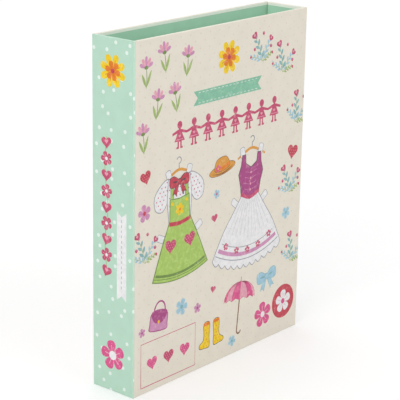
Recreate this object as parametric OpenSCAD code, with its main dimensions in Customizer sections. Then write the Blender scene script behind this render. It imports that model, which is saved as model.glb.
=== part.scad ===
// Boxed kit of press-out paper dolls: a book-shaped case of wrapped boards, closed by a magnetic
// flap, with a tray glued inside that holds the sheets of clothes and the sheet of dolls.
// The case stands upright. X runs from the spine to the fore-edge, Y from front to back, Z up.

/* [Case] */
// Width of the closed case, from the spine to the fore-edge
case_w = 195; // [165:1:240]
// Depth of the closed case, from the front to the back
case_d = 40; // [34:1:60]
// Height of the case
case_h = 260; // [220:1:290]
// Thickness of the greyboard in the four panels
board_t = 2; // [1.5:0.1:3]
// Thickness of the printed cover paper
paper_t = 0.2; // [0.15:0.05:0.3]
// Thickness of the lining paper
lining_t = 0.2; // [0.15:0.05:0.3]
// Width of cover paper turned in over the edges of the boards
turn_in = 15; // [8:1:25]
// Cover paper left bare between the edge of a board and its lining
lining_margin = 1.5; // [1:0.1:6]
// Cover paper left bare along the free edge of the flap
flap_lining_margin = 0.4; // [0.3:0.1:3]
// Clearance between two panels at the inside of a corner
corner_clear = 0.3; // [0.2:0.05:0.6]
// Clearance between the free edge of the closed flap and the back panel
flap_end_clear = 0.5; // [0.3:0.1:1.5]

/* [Magnets] */
// Diameter of each disc magnet
magnet_dia = 10; // [6:0.5:14]
// Thickness of each disc magnet
magnet_t = 1.2; // [0.8:0.1:1.4]
// Radial glue gap around a magnet in its recess
magnet_clear = 0.1; // [0.05:0.05:0.3]
// Height between the upper and the lower magnet
magnet_spacing = 150; // [80:1:170]

/* [Tray] */
// Height of the case left empty above the tray, and below it
tray_recess = 12; // [4:1:20]
// Thickness of the tray's greyboard
tray_board_t = 1.5; // [1.3:0.1:2.5]
// Thickness of the paper that covers the tray
tray_paper_t = 0.2; // [0.15:0.05:0.3]
// Width of tray paper turned under the tray's floor
tray_turn_in = 12; // [6:1:20]
// Gap between the tray and the closed cover and flap
tray_clear = 0.8; // [0.5:0.1:1.5]

/* [Platform] */
// Free depth between the sheet of dolls and the rim of the tray
headroom = 5; // [4.5:0.1:8]
// Thickness of the folded card of the platform that lifts the sheets
platform_t = 0.6; // [0.4:0.1:1]
// Clearance between the platform and the tray's walls
platform_clear = 0.4; // [0.2:0.1:1]

/* [Sheets] */
// Clearance between the sheets and the tray's side walls
sheet_side_clear = 2; // [0.5:0.1:5]
// Clearance between the sheets and the tray's upper wall
sheet_top_clear = 3; // [0.5:0.1:6]
// Corner radius of the sheets
sheet_corner_r = 4; // [1:0.5:10]
// Thickness of the folded instruction leaflet
leaflet_t = 0.2; // [0.1:0.05:0.4]
// Thickness of one sheet of press-out clothes
clothes_t = 0.4; // [0.2:0.05:0.5]
// Thickness of the board that the dolls are pressed out of
doll_t = 1.5; // [1:0.1:2]

/* [Dolls] */
// Height of the dolls' bases above the lower edge of the sheet
doll_lift = 40; // [32:1:48]
// Board left above the head of the taller doll
doll_top_margin = 19; // [10:1:40]
// Width of the base that a doll stands on
base_w = 46; // [36:1:60]
// Height of the base that a doll stands on, and of the foot that crosses it
base_h = 15; // [10:0.5:18]
// Corner radius of the base
base_corner_r = 6; // [2:0.5:8]
// Width of the cut around a press-out piece
kerf = 0.25; // [0.2:0.05:0.5]
// Radius of the half-round foot that slots across a doll's base
foot_r = 20; // [19:0.5:24]
// Height of the feet above the lower edge of the sheet
foot_lift = 10; // [5:1:14]
// Depth of the slots in a base and in a foot
slot_depth = 7.5; // [5:0.1:8]
// Play between the board and the slot that it fits in
slot_clear = 0.15; // [0.1:0.05:0.4]

/* [Hidden] */
// Overrun of a cut past the face that it opens
overrun = 1;

// Thickness through a panel at its turned-in edges, without and with the lining
wrapped_t = board_t + 2 * paper_t;
panel_t = wrapped_t + lining_t;
// Distance from a fold line to the edge of the board beside it
fold_set = panel_t + lining_t + corner_clear;
// Width of the flap, from its fold line to its free edge
flap_w = case_d - panel_t - flap_end_clear;

// Outer corners of the tray, glued against the back and the spine
tray_lo = [-case_w / 2 + panel_t, -case_d / 2 + panel_t + tray_clear, tray_recess];
tray_hi = [case_w / 2 - panel_t - tray_clear, case_d / 2 - panel_t, case_h - tray_recess];
// Thickness through a tray wall, papered on both sides, and through its floor
tray_wall_t = tray_board_t + 2 * tray_paper_t;
// Corners of the space inside the tray
room_lo = [tray_lo.x + tray_wall_t, tray_lo.y, tray_lo.z + tray_wall_t];
room_hi = [tray_hi.x - tray_wall_t, tray_hi.y - tray_wall_t, tray_hi.z - tray_wall_t];

// Size of every sheet, and the height of the platform under the stack of them
sheet_w = room_hi.x - room_lo.x - 2 * sheet_side_clear;
sheet_h = room_hi.z - room_lo.z - sheet_top_clear;
sheet_x = (room_lo.x + room_hi.x) / 2;
clothes_count = 6;
stack_t = leaflet_t + clothes_count * clothes_t + doll_t;
platform_h = room_hi.y - room_lo.y - headroom - stack_t;

// Y of each layer's face that looks at the platform
leaflet_y = room_hi.y - platform_h;
clothes_y = leaflet_y - leaflet_t;
dolls_y = clothes_y - clothes_count * clothes_t;

// Height of doll 1 with its base, and places of the dolls across the sheet
doll_h = sheet_h - doll_lift - doll_top_margin;
doll_x_share = [-0.25, 0.25];
slot_w = doll_t + 2 * slot_clear;

// Right half of a doll's outline, from the ankle up to the neck, in shares of the doll's height
figure_share = [[0.050, 0.115], [0.046, 0.165], [0.056, 0.235], [0.050, 0.300], [0.058, 0.372],
                [0.112, 0.385], [0.094, 0.470], [0.062, 0.560], [0.056, 0.605], [0.070, 0.655],
                [0.100, 0.600], [0.132, 0.520], [0.150, 0.462], [0.166, 0.440], [0.184, 0.455],
                [0.180, 0.490], [0.166, 0.540], [0.142, 0.610], [0.116, 0.672], [0.086, 0.708],
                [0.040, 0.720]];
// The same for the hair: doll 1 wears a bun, and doll 2 a bob with full curls at the sides
hair_share = [[[0.044, 0.750], [0.086, 0.778], [0.104, 0.830], [0.096, 0.882], [0.062, 0.922],
               [0.036, 0.940], [0.044, 0.964], [0.030, 0.992], [0, 1]],
              [[0.046, 0.748], [0.088, 0.752], [0.120, 0.764], [0.130, 0.796], [0.114, 0.832],
               [0.112, 0.876], [0.082, 0.926], [0.040, 0.950], [0, 0.956]]];
// Straight pieces drawn between two points of a curved outline
curve_steps = 3;
// Smoothness of the round outlines
round_fn = 48;

// Box between two opposite corners
module block(lo, hi) {
  translate(lo) cube(hi - lo);
}

// Places for a panel drawn with its outer face on Y = 0, its fold or edge on X = 0
module on_front() {
  translate([-case_w / 2, -case_d / 2, 0]) children();
}

module on_spine() {
  translate([-case_w / 2, case_d / 2, 0]) rotate([0, 0, -90]) children();
}

module on_back() {
  translate([case_w / 2, case_d / 2, 0]) rotate([0, 0, 180]) children();
}

module on_flap() {
  translate([case_w / 2, -case_d / 2, 0]) rotate([0, 0, 90]) children();
}

// Greyboard of a panel w wide; fold_lo and fold_hi say which of its sides are folds
module panel_board(w, fold_lo, fold_hi) {
  lo = fold_lo ? fold_set : paper_t;
  hi = fold_hi ? w - fold_set : w - paper_t;
  block([lo, paper_t, paper_t], [hi, paper_t + board_t, case_h - paper_t]);
}

// Outline of a panel seen from above, mitred where it meets the next panel at a fold
module panel_outline(w, fold_lo, fold_hi) {
  lo = fold_lo ? wrapped_t : 0;
  hi = fold_hi ? w - wrapped_t : w;
  polygon([[0, 0], [w, 0], [hi, wrapped_t], [lo, wrapped_t]]);
}

// Cover paper of a panel: the outer face, its share of each fold, and the turned-in edges
module panel_paper(w, fold_lo, fold_hi) {
  inside_t = wrapped_t + overrun;
  lo = fold_lo ? -overrun : paper_t;
  hi = fold_hi ? w + overrun : w - paper_t;
  window_lo = fold_lo ? lo : turn_in;
  window_hi = fold_hi ? hi : w - turn_in;
  difference() {
    linear_extrude(case_h) panel_outline(w, fold_lo, fold_hi);
    block([lo, paper_t, paper_t], [hi, paper_t + board_t, case_h - paper_t]);
    block([window_lo, paper_t, turn_in], [window_hi, inside_t, case_h - turn_in]);
    if (fold_lo) block([-overrun, paper_t, paper_t], [fold_set, inside_t, case_h - paper_t]);
    if (fold_hi) block([w - fold_set, paper_t, paper_t], [w + overrun, inside_t, case_h - paper_t]);
  }
}

// Lining of a panel: one sheet that steps over the turned-in paper and goes down into each fold
module panel_lining(w, fold_lo, fold_hi, bare = lining_margin) {
  face = paper_t + board_t;
  lo = fold_lo ? fold_set - lining_t : bare;
  hi = fold_hi ? w - fold_set + lining_t : w - bare;
  window_lo = fold_lo ? lo : turn_in;
  window_hi = fold_hi ? hi : w - turn_in;
  step_lo = fold_lo ? lo - overrun : turn_in + lining_t;
  step_hi = fold_hi ? hi + overrun : w - turn_in - lining_t;
  low = lining_margin;
  high = case_h - lining_margin;
  block([window_lo, face, turn_in], [window_hi, face + lining_t, case_h - turn_in]);
  difference() {
    union() {
      block([lo, wrapped_t, low], [hi, panel_t, high]);
      block([window_lo, face, turn_in], [window_hi, panel_t, case_h - turn_in]);
    }
    block([step_lo, face - overrun, turn_in + lining_t],
          [step_hi, panel_t + overrun, case_h - turn_in - lining_t]);
  }
  if (fold_lo) block([lo, paper_t, low], [lo + lining_t, face + lining_t, high]);
  if (fold_hi) block([hi - lining_t, paper_t, low], [hi, face + lining_t, high]);
}

// A disc with its axis along X, from x_lo to x_hi
module disc_x(x_lo, x_hi, dia, y, z) {
  translate([x_lo, y, z]) rotate([0, 90, 0]) cylinder(h = x_hi - x_lo, d = dia, $fn = round_fn);
}

// Height of the upper magnets (side 1) and of the lower magnets (side -1)
function magnet_z(side) = case_h / 2 + side * magnet_spacing / 2;

// Depth at which the magnets face each other, halfway along the tray's wall
magnet_y = (tray_lo.y + room_hi.y) / 2;
// X of the faces of the flap's magnets and of the tray's magnets that look at each other
flap_magnet_x = case_w / 2 - paper_t - board_t;
tray_magnet_x = tray_hi.x - tray_paper_t;

module flap_magnet(side, clear = 0, past = 0) {
  disc_x(flap_magnet_x - past, flap_magnet_x + magnet_t, magnet_dia + 2 * clear,
         magnet_y, magnet_z(side));
}

module tray_magnet(side, clear = 0, past = 0) {
  disc_x(tray_magnet_x - magnet_t, tray_magnet_x + past, magnet_dia + 2 * clear,
         magnet_y, magnet_z(side));
}

module back_board() {
  color([0.62, 0.58, 0.52]) on_back() panel_board(case_w, false, true);
}

module back_cover_paper() {
  color([0.90, 0.87, 0.80]) on_back() panel_paper(case_w, false, true);
}

module back_lining() {
  color([0.60, 0.80, 0.70]) on_back() panel_lining(case_w, false, true);
}

module spine_board() {
  color([0.62, 0.58, 0.52]) on_spine() panel_board(case_d, true, true);
}

module spine_cover_paper() {
  color([0.69, 0.85, 0.76]) on_spine() panel_paper(case_d, true, true);
}

module spine_lining() {
  color([0.60, 0.80, 0.70]) on_spine() panel_lining(case_d, true, true);
}

module front_board() {
  color([0.62, 0.58, 0.52]) on_front() panel_board(case_w, true, true);
}

module front_cover_paper() {
  color([0.90, 0.87, 0.80]) on_front() panel_paper(case_w, true, true);
}

module front_lining() {
  color([0.60, 0.80, 0.70]) on_front() panel_lining(case_w, true, true);
}

// The flap's board has a blind recess for each magnet, open on the lined side
module flap_board() {
  color([0.62, 0.58, 0.52]) difference() {
    on_flap() panel_board(flap_w, true, false);
    for (side = [-1, 1]) flap_magnet(side, magnet_clear, overrun);
  }
}

module flap_cover_paper() {
  color([0.90, 0.87, 0.80]) on_flap() panel_paper(flap_w, true, false);
}

module flap_lining() {
  color([0.60, 0.80, 0.70]) on_flap() panel_lining(flap_w, true, false, flap_lining_margin);
}

module flap_magnet_upper() {
  color([0.75, 0.75, 0.77]) flap_magnet(1);
}

module flap_magnet_lower() {
  color([0.75, 0.75, 0.77]) flap_magnet(-1);
}

// Corner of the tray moved inwards by d on every side that the paper covers
function tray_in_lo(d) = tray_lo + [d, d, d];
function tray_in_hi(d) = tray_hi - [d, d, d];

// Corners of the space between the boards of the tray's walls
board_room_lo = tray_lo + (tray_paper_t + tray_board_t) * [1, 0, 1];
board_room_hi = tray_hi - (tray_paper_t + tray_board_t) * [1, 1, 1];

module tray_floor_board() {
  lo = tray_in_lo(tray_paper_t);
  color([0.62, 0.58, 0.52]) block([lo.x, board_room_hi.y, lo.z], tray_in_hi(tray_paper_t));
}

// The upper and the lower wall stand on the floor board, as wide as it is
module tray_upper_wall() {
  lo = tray_in_lo(tray_paper_t);
  hi = tray_in_hi(tray_paper_t);
  color([0.62, 0.58, 0.52]) block([lo.x, lo.y, board_room_hi.z], [hi.x, board_room_hi.y, hi.z]);
}

module tray_lower_wall() {
  lo = tray_in_lo(tray_paper_t);
  hi = tray_in_hi(tray_paper_t);
  color([0.62, 0.58, 0.52]) block(lo, [hi.x, board_room_hi.y, board_room_lo.z]);
}

// The two side walls stand on the floor board, between the upper and the lower wall
module tray_spine_wall() {
  lo = tray_in_lo(tray_paper_t);
  color([0.62, 0.58, 0.52]) block([lo.x, lo.y, board_room_lo.z],
                                  [board_room_lo.x, board_room_hi.y, board_room_hi.z]);
}

// The wall beside the flap has a blind recess for each magnet, open on the outer side
module tray_flap_wall() {
  lo = tray_in_lo(tray_paper_t);
  hi = tray_in_hi(tray_paper_t);
  color([0.62, 0.58, 0.52]) difference() {
    block([board_room_hi.x, lo.y, board_room_lo.z], [hi.x, board_room_hi.y, board_room_hi.z]);
    for (side = [-1, 1]) tray_magnet(side, magnet_clear, overrun);
  }
}

// Paper over the outside, the rim and the inside of the walls, turned under the floor
module tray_cover_paper() {
  color([0.64, 0.83, 0.73]) difference() {
    block(tray_lo, tray_hi);
    difference() {
      block(tray_in_lo(tray_paper_t), tray_in_hi(tray_paper_t));
      block(board_room_lo - [0, overrun, 0], board_room_hi);
    }
    block([room_lo.x, tray_lo.y - overrun, room_lo.z], [room_hi.x, board_room_hi.y, room_hi.z]);
    block([tray_lo.x + tray_turn_in, room_hi.y, tray_lo.z + tray_turn_in],
          [tray_hi.x - tray_turn_in, tray_hi.y + overrun, tray_hi.z - tray_turn_in]);
  }
}

module tray_floor_paper() {
  color([0.60, 0.80, 0.70]) block([room_lo.x, room_hi.y, room_lo.z],
                                  [room_hi.x, room_hi.y + tray_paper_t, room_hi.z]);
}

module tray_magnet_upper() {
  color([0.75, 0.75, 0.77]) tray_magnet(1);
}

module tray_magnet_lower() {
  color([0.75, 0.75, 0.77]) tray_magnet(-1);
}

// Inverted tray of folded card, open at the back, that stands on the tray's floor
module insert_platform() {
  lo = [room_lo.x + platform_clear, leaflet_y, room_lo.z + platform_clear];
  hi = [room_hi.x - platform_clear, room_hi.y, room_hi.z - platform_clear];
  skin = [platform_t, platform_t, platform_t];
  color([0.93, 0.92, 0.88]) difference() {
    block(lo, hi);
    block(lo + skin, [hi.x - platform_t, hi.y + overrun, hi.z - platform_t]);
  }
}

// A sheet's outline stands in X and Y, and becomes a sheet t thick whose back face is at y
module stood_sheet(y, t) {
  translate([sheet_x, y, room_lo.z]) rotate([90, 0, 0]) linear_extrude(t) children();
}

module sheet_outline() {
  inner_w = sheet_w - 2 * sheet_corner_r;
  inner_h = sheet_h - 2 * sheet_corner_r;
  translate([-sheet_w / 2, sheet_corner_r]) square([sheet_w, inner_h]);
  translate([-inner_w / 2, 0]) square([inner_w, sheet_h]);
  for (x = [-1, 1], y = [0, 1])
    translate([x * inner_w / 2, sheet_corner_r + y * inner_h]) circle(sheet_corner_r, $fn = round_fn);
}

module instruction_leaflet() {
  color([0.96, 0.95, 0.92]) stood_sheet(leaflet_y, leaflet_t) sheet_outline();
}

module clothes_sheet(number) {
  stood_sheet(clothes_y - (number - 1) * clothes_t, clothes_t) sheet_outline();
}

module clothes_sheet_1() {
  color([0.97, 0.95, 0.90]) clothes_sheet(1);
}

module clothes_sheet_2() {
  color([0.97, 0.95, 0.90]) clothes_sheet(2);
}

module clothes_sheet_3() {
  color([0.97, 0.95, 0.90]) clothes_sheet(3);
}

module clothes_sheet_4() {
  color([0.97, 0.95, 0.90]) clothes_sheet(4);
}

module clothes_sheet_5() {
  color([0.97, 0.95, 0.90]) clothes_sheet(5);
}

module clothes_sheet_6() {
  color([0.97, 0.95, 0.90]) clothes_sheet(6);
}

// Place on a smooth curve between p[i] and p[i + 1], f of the way along
function along(p, i, f) =
  let (a = p[max(i - 1, 0)], b = p[i], c = p[i + 1], d = p[min(i + 2, len(p) - 1)])
  b + (f * (c - a) + pow(f, 2) * (2 * a - 5 * b + 4 * c - d) + pow(f, 3) * (3 * b - a - 3 * c + d)) / 2;

// Smooth curve through all the points of p
function curve(p) = concat([for (i = [0:len(p) - 2], k = [0:curve_steps - 1])
                              along(p, i, k / curve_steps)], [p[len(p) - 1]]);

// Arc about a centre, between two angles
function arc(centre, r, from, to, steps) =
  [for (k = [0:steps]) let (a = from + (to - from) * k / steps) centre + r * [cos(a), sin(a)]];

// Whole outline from its right half, which is drawn upwards
function both_halves(right) =
  concat(right, [for (i = [len(right) - 1:-1:0]) if (abs(right[i].x) > 0) [-right[i].x, right[i].y]]);

// Outward normal of the side of an outline that starts at point i
function side_normal(p, i) = let (v = p[(i + 1) % len(p)] - p[i % len(p)]) [v.y, -v.x] / norm(v);

// Outline moved outwards by d on every side
function grown(p, d) = [for (i = [0:len(p) - 1])
  let (a = side_normal(p, i + len(p) - 1), b = side_normal(p, i)) p[i] + d * (a + b) / (1 + a * b)];

// A doll on its base, which has a slot at the bottom for the foot
function doll_outline(kind) = both_halves(concat(
  [[slot_w / 2, slot_depth], [slot_w / 2, 0], [base_w / 2, 0]],
  arc([base_w / 2 - base_corner_r, base_h - base_corner_r], base_corner_r, 0, 90, 8),
  [[figure_share[0].x * doll_h, base_h]],
  doll_h * curve(concat(figure_share, hair_share[kind - 1]))));

// A half-round foot, cut off level at the height of the base, with a slot at the top
function foot_outline() = both_halves(concat(
  [[0, 0]], arc([0, 0], foot_r, 0, asin(base_h / foot_r), 12),
  [[slot_w / 2, base_h], [slot_w / 2, base_h - slot_depth]]));

function doll_place(kind) = [doll_x_share[kind - 1] * sheet_w, doll_lift];
function foot_place(kind) = [doll_x_share[kind - 1] * sheet_w, foot_lift];

module doll(kind) {
  stood_sheet(dolls_y, doll_t) translate(doll_place(kind)) polygon(doll_outline(kind));
}

module doll_1() {
  color([0.95, 0.82, 0.70]) doll(1);
}

module doll_2() {
  color([0.93, 0.78, 0.64]) doll(2);
}

module stand_foot(kind) {
  stood_sheet(dolls_y, doll_t) translate(foot_place(kind)) polygon(foot_outline());
}

module stand_foot_1() {
  color([0.90, 0.45, 0.60]) stand_foot(1);
}

module stand_foot_2() {
  color([0.90, 0.45, 0.60]) stand_foot(2);
}

// What is left of the sheet round the dolls and the feet
module doll_sheet_frame() {
  color([0.96, 0.93, 0.88]) stood_sheet(dolls_y, doll_t) difference() {
    sheet_outline();
    for (kind = [1, 2]) {
      translate(doll_place(kind)) polygon(grown(doll_outline(kind), kerf));
      translate(foot_place(kind)) polygon(grown(foot_outline(), kerf));
    }
  }
}

back_board();
back_cover_paper();
back_lining();
spine_board();
spine_cover_paper();
spine_lining();
front_board();
front_cover_paper();
front_lining();
flap_board();
flap_cover_paper();
flap_lining();
flap_magnet_upper();
flap_magnet_lower();
tray_floor_board();
tray_upper_wall();
tray_lower_wall();
tray_spine_wall();
tray_flap_wall();
tray_cover_paper();
tray_floor_paper();
tray_magnet_upper();
tray_magnet_lower();
insert_platform();
instruction_leaflet();
clothes_sheet_1();
clothes_sheet_2();
clothes_sheet_3();
clothes_sheet_4();
clothes_sheet_5();
clothes_sheet_6();
doll_sheet_frame();
doll_1();
doll_2();
stand_foot_1();
stand_foot_2();
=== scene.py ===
import math
import random

import bmesh
import bpy
from mathutils import Matrix, Vector
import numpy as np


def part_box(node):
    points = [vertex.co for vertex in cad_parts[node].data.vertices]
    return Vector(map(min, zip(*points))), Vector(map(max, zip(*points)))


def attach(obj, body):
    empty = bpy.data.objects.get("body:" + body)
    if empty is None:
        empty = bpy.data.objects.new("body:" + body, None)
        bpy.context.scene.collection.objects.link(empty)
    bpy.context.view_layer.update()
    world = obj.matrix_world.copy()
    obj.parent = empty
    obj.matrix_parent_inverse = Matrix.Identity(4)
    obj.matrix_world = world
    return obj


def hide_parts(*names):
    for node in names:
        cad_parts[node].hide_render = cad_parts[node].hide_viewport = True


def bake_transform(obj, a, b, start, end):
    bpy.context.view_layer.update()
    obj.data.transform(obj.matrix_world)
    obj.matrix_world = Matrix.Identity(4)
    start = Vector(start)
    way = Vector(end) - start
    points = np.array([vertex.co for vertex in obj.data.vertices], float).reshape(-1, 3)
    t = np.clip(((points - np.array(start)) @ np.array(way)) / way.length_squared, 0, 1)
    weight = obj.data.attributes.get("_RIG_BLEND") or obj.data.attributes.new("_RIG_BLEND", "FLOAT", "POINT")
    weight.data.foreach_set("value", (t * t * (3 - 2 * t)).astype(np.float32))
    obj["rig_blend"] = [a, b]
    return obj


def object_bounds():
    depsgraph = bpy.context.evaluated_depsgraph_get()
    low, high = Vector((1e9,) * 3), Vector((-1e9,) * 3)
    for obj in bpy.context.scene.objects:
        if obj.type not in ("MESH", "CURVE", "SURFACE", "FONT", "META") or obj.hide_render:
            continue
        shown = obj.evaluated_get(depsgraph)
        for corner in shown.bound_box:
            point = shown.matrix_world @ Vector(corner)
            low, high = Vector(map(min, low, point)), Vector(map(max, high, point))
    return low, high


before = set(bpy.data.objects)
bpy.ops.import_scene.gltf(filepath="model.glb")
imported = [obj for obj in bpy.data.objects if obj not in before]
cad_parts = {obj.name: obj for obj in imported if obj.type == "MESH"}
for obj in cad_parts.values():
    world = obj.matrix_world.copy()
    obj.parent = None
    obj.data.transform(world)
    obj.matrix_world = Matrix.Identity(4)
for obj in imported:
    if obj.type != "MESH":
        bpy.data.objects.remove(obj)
cad_low, cad_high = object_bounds()

# The view of the photograph
# The camera stands a little over a metre away, level with the top of the case, and looks at the
# spine and the front at about equal angles.
mm = 0.001
VIEW_PLACE = Vector((-816.9, -682.2, 449.1)) * mm
VIEW_AZIMUTH, VIEW_ELEVATION, VIEW_ROLL = (math.radians(a) for a in (-50.04, 17.01, 1.00))
VIEW_LENS = 133.5
view_back = Vector((math.sin(VIEW_AZIMUTH) * math.cos(VIEW_ELEVATION),
                    -math.cos(VIEW_AZIMUTH) * math.cos(VIEW_ELEVATION),
                    math.sin(VIEW_ELEVATION)))
view_right = Vector((0, 0, 1)).cross(view_back).normalized()
view_up = view_back.cross(view_right)
view_turn = Matrix((view_right, view_up, view_back)).transposed() @ Matrix.Rotation(VIEW_ROLL, 3, "Z")
camera = bpy.data.objects.new("camera", bpy.data.cameras.new("camera"))
camera.data.lens = VIEW_LENS
camera.data.clip_start = 0.05
camera.matrix_world = Matrix.Translation(VIEW_PLACE) @ view_turn.to_4x4()
bpy.context.scene.collection.objects.link(camera)
bpy.context.scene.camera = camera
bpy.context.scene.view_settings.view_transform = "Standard"

# The studio
# A white table and a white room, which the camera and shiny surfaces see as plain white, and
# three large soft lamps: on the spine's side, in front and overhead.
FLOOR_HALF = 3.0
NEAR_GLOW, FAR_GLOW = 0.27, 0.47      # of the white table at 0.1 and 1.7 metres from the case
ROOM_LIGHT = 0.46
LAMPS = (("key_lamp", (-2.0, -0.5, 1.1), 1.6, 19.5),
         ("front_lamp", (0.3, -2.2, 1.1), 1.8, 12.4),
         ("top_lamp", (0.2, 0.5, 2.2), 1.4, 15.0))


def add_node(tree, kind, sockets=(), **settings):
    """A new shader node with these settings, and with its input sockets linked or set."""
    node = tree.nodes.new("ShaderNode" + kind)
    for name, value in settings.items():
        setattr(node, name, value)
    for name, value in dict(sockets).items():
        if isinstance(value, bpy.types.NodeSocket):
            tree.links.new(value, node.inputs[name])
        else:
            node.inputs[name].default_value = value
    return node


def maths(tree, operation, a, b=0.0, c=0.0):
    """The value of a Math node."""
    return add_node(tree, "Math", {0: a, 1: b, 2: c}, operation=operation).outputs[0]


def seen_as_background(tree):
    """A value that is 1 for rays from the camera, a mirror or a glass, and 0 for light."""
    path = add_node(tree, "LightPath").outputs
    seen = maths(tree, "MAXIMUM", path["Is Camera Ray"], path["Is Glossy Ray"])
    return maths(tree, "MAXIMUM", seen, path["Is Transmission Ray"])


room = bpy.data.worlds.new("room")
bpy.context.scene.world = room
room.use_nodes = True
room_tree = room.node_tree
room_tree.nodes.clear()
room_light = maths(room_tree, "MAXIMUM", seen_as_background(room_tree), ROOM_LIGHT)
room_shader = add_node(room_tree, "Background", {"Color": (1, 1, 1, 1), "Strength": room_light})
add_node(room_tree, "OutputWorld", {"Surface": room_shader.outputs[0]})

floor_paint = bpy.data.materials.new("white_table")
floor_paint.use_nodes = True
floor_tree = floor_paint.node_tree
floor_shader = floor_tree.nodes["Principled BSDF"]
floor_shader.inputs["Base Color"].default_value = (0.80, 0.80, 0.80, 1)
floor_shader.inputs["Roughness"].default_value = 0.9
floor_shader.inputs["Specular IOR Level"].default_value = 0.1
from_case = add_node(floor_tree, "VectorMath", {0: add_node(floor_tree, "TexCoord").outputs["Object"]},
                     operation="LENGTH").outputs["Value"]
evened = add_node(floor_tree, "MapRange", {0: from_case, 1: 0.1, 2: 1.7, 3: NEAR_GLOW, 4: FAR_GLOW},
                  clamp=False)
floor_glow = maths(floor_tree, "MULTIPLY", seen_as_background(floor_tree), evened.outputs[0])
floor_emission = add_node(floor_tree, "Emission", {"Color": (1, 1, 1, 1), "Strength": floor_glow})
floor_sum = add_node(floor_tree, "AddShader", {0: floor_shader.outputs[0], 1: floor_emission.outputs[0]})
floor_tree.links.new(floor_sum.outputs[0], floor_tree.nodes["Material Output"].inputs["Surface"])
floor_mesh = bpy.data.meshes.new("table_top")
floor_bm = bmesh.new()
bmesh.ops.create_grid(floor_bm, x_segments=1, y_segments=1, size=FLOOR_HALF)
floor_bm.to_mesh(floor_mesh)
floor_bm.free()
floor_mesh.materials.append(floor_paint)
floor = bpy.data.objects.new("table_top", floor_mesh)
bpy.context.scene.collection.objects.link(floor)

case_middle = (cad_low + cad_high) / 2
for lamp_name, lamp_place, lamp_size, lamp_power in LAMPS:
    lamp = bpy.data.objects.new(lamp_name, bpy.data.lights.new(lamp_name, "AREA"))
    lamp.data.size = lamp_size
    lamp.data.energy = lamp_power
    lamp.location = lamp_place
    lamp.rotation_euler = (Vector(lamp_place) - case_middle).to_track_quat("Z", "Y").to_euler()
    bpy.context.scene.collection.objects.link(lamp)

# The cover sheet
# One sheet of printed and matt-laminated paper is glued round the boards of all four panels and
# turned in over their edges. A flat map of the sheet gives each piece of it its place in metres:
# 0 is the fold between spine and front, so the spine and the back panel lie below 0.
CASE_W, CASE_D, CASE_H = cad_high - cad_low
PAPER_T = 0.2 * mm
PANEL_T = 2.4 * mm           # board and paper, measured at a turned-in edge
TURN_IN = 15 * mm
EDGE_R = 0.5 * mm            # paper drawn round the edge of a board
FOLD_R = 1.2 * mm            # paper drawn round a fold
FOLD_HALF = 3.0 * mm         # paper between a fold line and the board beside it
FOLD_DIP = 0.18 * mm         # by which that paper sinks between the two boards
TUCK_DROP = 0.15 * mm        # from the end of a fold down to the paper tucked into it
TUCK_SHOWN = 2.3 * mm        # of that paper, which shows on a board's end beside the lining
FACING = 0.7                 # of a face's normal along an axis, for a face that looks that way
TURNED_UP = 1.0              # metres by which turned-in paper lies higher on the flat map
DOT_SHARPNESS = 6.0          # of the edge of a printed dot, per millimetre
FLAP_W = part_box("flap_cover_paper")[1].y + CASE_D / 2

front_place = Matrix.Translation((-CASE_W / 2, -CASE_D / 2, 0))
spine_place = Matrix.Translation((-CASE_W / 2, CASE_D / 2, 0)) @ Matrix.Rotation(math.radians(-90), 4, "Z")
back_place = Matrix.Translation((CASE_W / 2, CASE_D / 2, 0)) @ Matrix.Rotation(math.radians(180), 4, "Z")
flap_place = Matrix.Translation((CASE_W / 2, -CASE_D / 2, 0)) @ Matrix.Rotation(math.radians(90), 4, "Z")
SHEET_START = {"back": -CASE_D - CASE_W, "spine": -CASE_D, "front": 0.0, "flap": CASE_W}


def linear(red, green, blue):
    """A colour in the renderer's own linear values, from the 0 to 255 of a screen."""
    return tuple(((c / 255 + 0.055) / 1.055) ** 2.4 for c in (red, green, blue)) + (1,)


def scaled(tree, vector, factor):
    """A vector or a colour times a factor."""
    return add_node(tree, "VectorMath", {0: vector, "Scale": factor}, operation="SCALE").outputs[0]


def ranged(tree, value, low, high, start=0.3, end=0.7):
    """A value that is low where the given value is start, and high where it is end."""
    return add_node(tree, "MapRange", {0: value, 1: start, 2: end, 3: low, 4: high}).outputs[0]


def node_group(name, inputs, outputs):
    """A new shader group, the sockets that it takes and the sockets that it gives."""
    group = bpy.data.node_groups.new(name, "ShaderNodeTree")
    for direction, sockets in (("INPUT", inputs), ("OUTPUT", outputs)):
        for socket, kind in sockets.items():
            group.interface.new_socket(socket, in_out=direction, socket_type="NodeSocket" + kind)
    return group, group.nodes.new("NodeGroupInput").outputs, group.nodes.new("NodeGroupOutput").inputs


def link_group(tree, group, sockets):
    """The outputs of a group whose inputs are linked or set."""
    return add_node(tree, "Group", sockets, node_tree=group).outputs


def paper_fibre_group():
    """Clouds and fibres of paper. Place is in millimetres; Shade is about 1, and Height is a relief."""
    group, given, out = node_group("paper_fibre", {"Place": "Vector"}, {"Shade": "Float", "Height": "Float"})
    clouds = add_node(group, "TexNoise", {"Vector": given["Place"], "Scale": 0.09, "Detail": 3.0})
    fibres = add_node(group, "TexNoise", {"Vector": given["Place"], "Scale": 2.2, "Detail": 4.0,
                                          "Roughness": 0.65, "Distortion": 0.6})
    shade = maths(group, "MULTIPLY", ranged(group, clouds.outputs[0], 0.975, 1.02),
                  ranged(group, fibres.outputs[0], 0.985, 1.012))
    group.links.new(shade, out["Shade"])
    group.links.new(fibres.outputs[0], out["Height"])
    return group


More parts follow.
